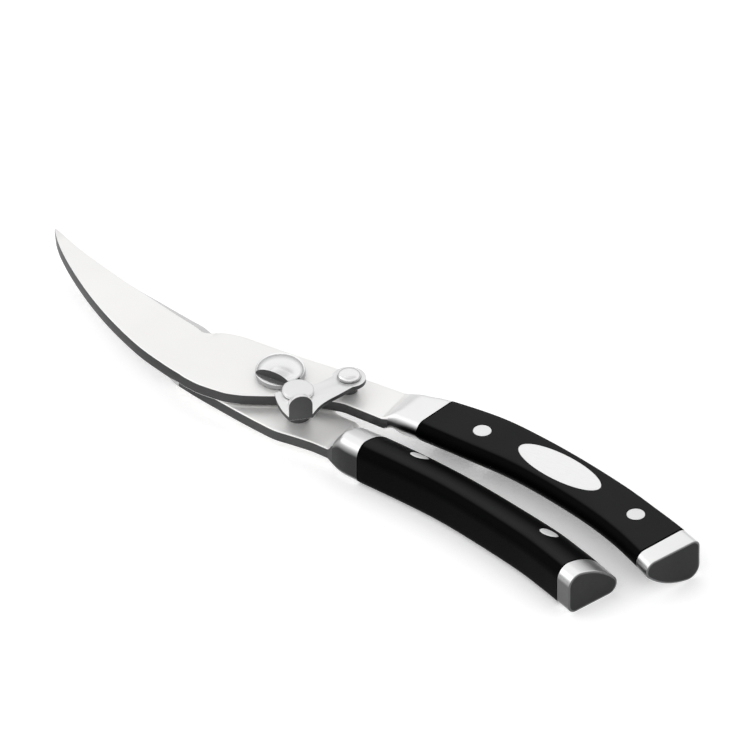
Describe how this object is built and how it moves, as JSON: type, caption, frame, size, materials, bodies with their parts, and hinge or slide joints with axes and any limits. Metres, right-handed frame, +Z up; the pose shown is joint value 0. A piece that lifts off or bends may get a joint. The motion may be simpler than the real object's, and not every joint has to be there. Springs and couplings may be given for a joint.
{
  "type": "poultry shears",
  "caption": "Poultry shears with curved blades, riveted black grips, steel end caps, a domed pivot screw and a swinging hook latch, closed and lying flat.",
  "frame": {"origin": "centre of the pivot nut's flat underside, level with the underside of the grips", "axes": "+X from the pivot to the handles, +Y towards the handle that carries the badge, +Z up along the pivot axis"},
  "size_m": [0.2433, 0.0779, 0.0227],
  "materials": {
    "blade_steel": "satin",
    "cap_steel": "polished",
    "grip_polymer": "satin",
    "rivet_metal": "satin",
    "badge_metal": "satin",
    "pivot_steel": "polished",
    "bush_bronze": "satin",
    "spring_steel": "drawn",
    "latch_steel": "satin"
  },
  "bodies": {
    "lower_half": {"lower_blade": "blade_steel", "lower_grip": "grip_polymer", "lower_end_cap": "cap_steel", "lower_front_rivet": "rivet_metal", "lower_front_rivet_pin": "rivet_metal", "lower_rear_rivet": "rivet_metal", "lower_rear_rivet_pin": "rivet_metal", "pivot_screw": "pivot_steel", "pivot_bush": "bush_bronze", "pivot_nut": "pivot_steel", "opening_spring": "spring_steel", "latch_stud": "latch_steel"},
    "upper_half": {"upper_blade": "blade_steel", "upper_grip": "grip_polymer", "upper_end_cap": "cap_steel", "upper_front_rivet": "rivet_metal", "upper_front_rivet_pin": "rivet_metal", "upper_rear_rivet": "rivet_metal", "upper_rear_rivet_pin": "rivet_metal", "badge_plate": "badge_metal", "latch_rivet": "latch_steel", "latch_spacer": "latch_steel", "latch_washer": "latch_steel"},
    "latch": {"latch_hook": "latch_steel"}
  },
  "joints": [
    {"name": "pivot", "type": "hinge", "parent": "lower_half", "child": "upper_half", "pos_m": [0, 0, 0.0068], "axis": [0, 0, 1], "range_deg": [0, 50], "deforming": ["opening_spring"]},
    {"name": "latch_swing", "type": "hinge", "parent": "upper_half", "child": "latch", "pos_m": [0.0211, 0.0039, 0.015], "axis": [0, 0, 1], "range_deg": [0, 60]}
  ],
  "couplings": [
    {"joint": "latch_swing", "follows": "pivot", "ratio": 1.2}
  ]
}
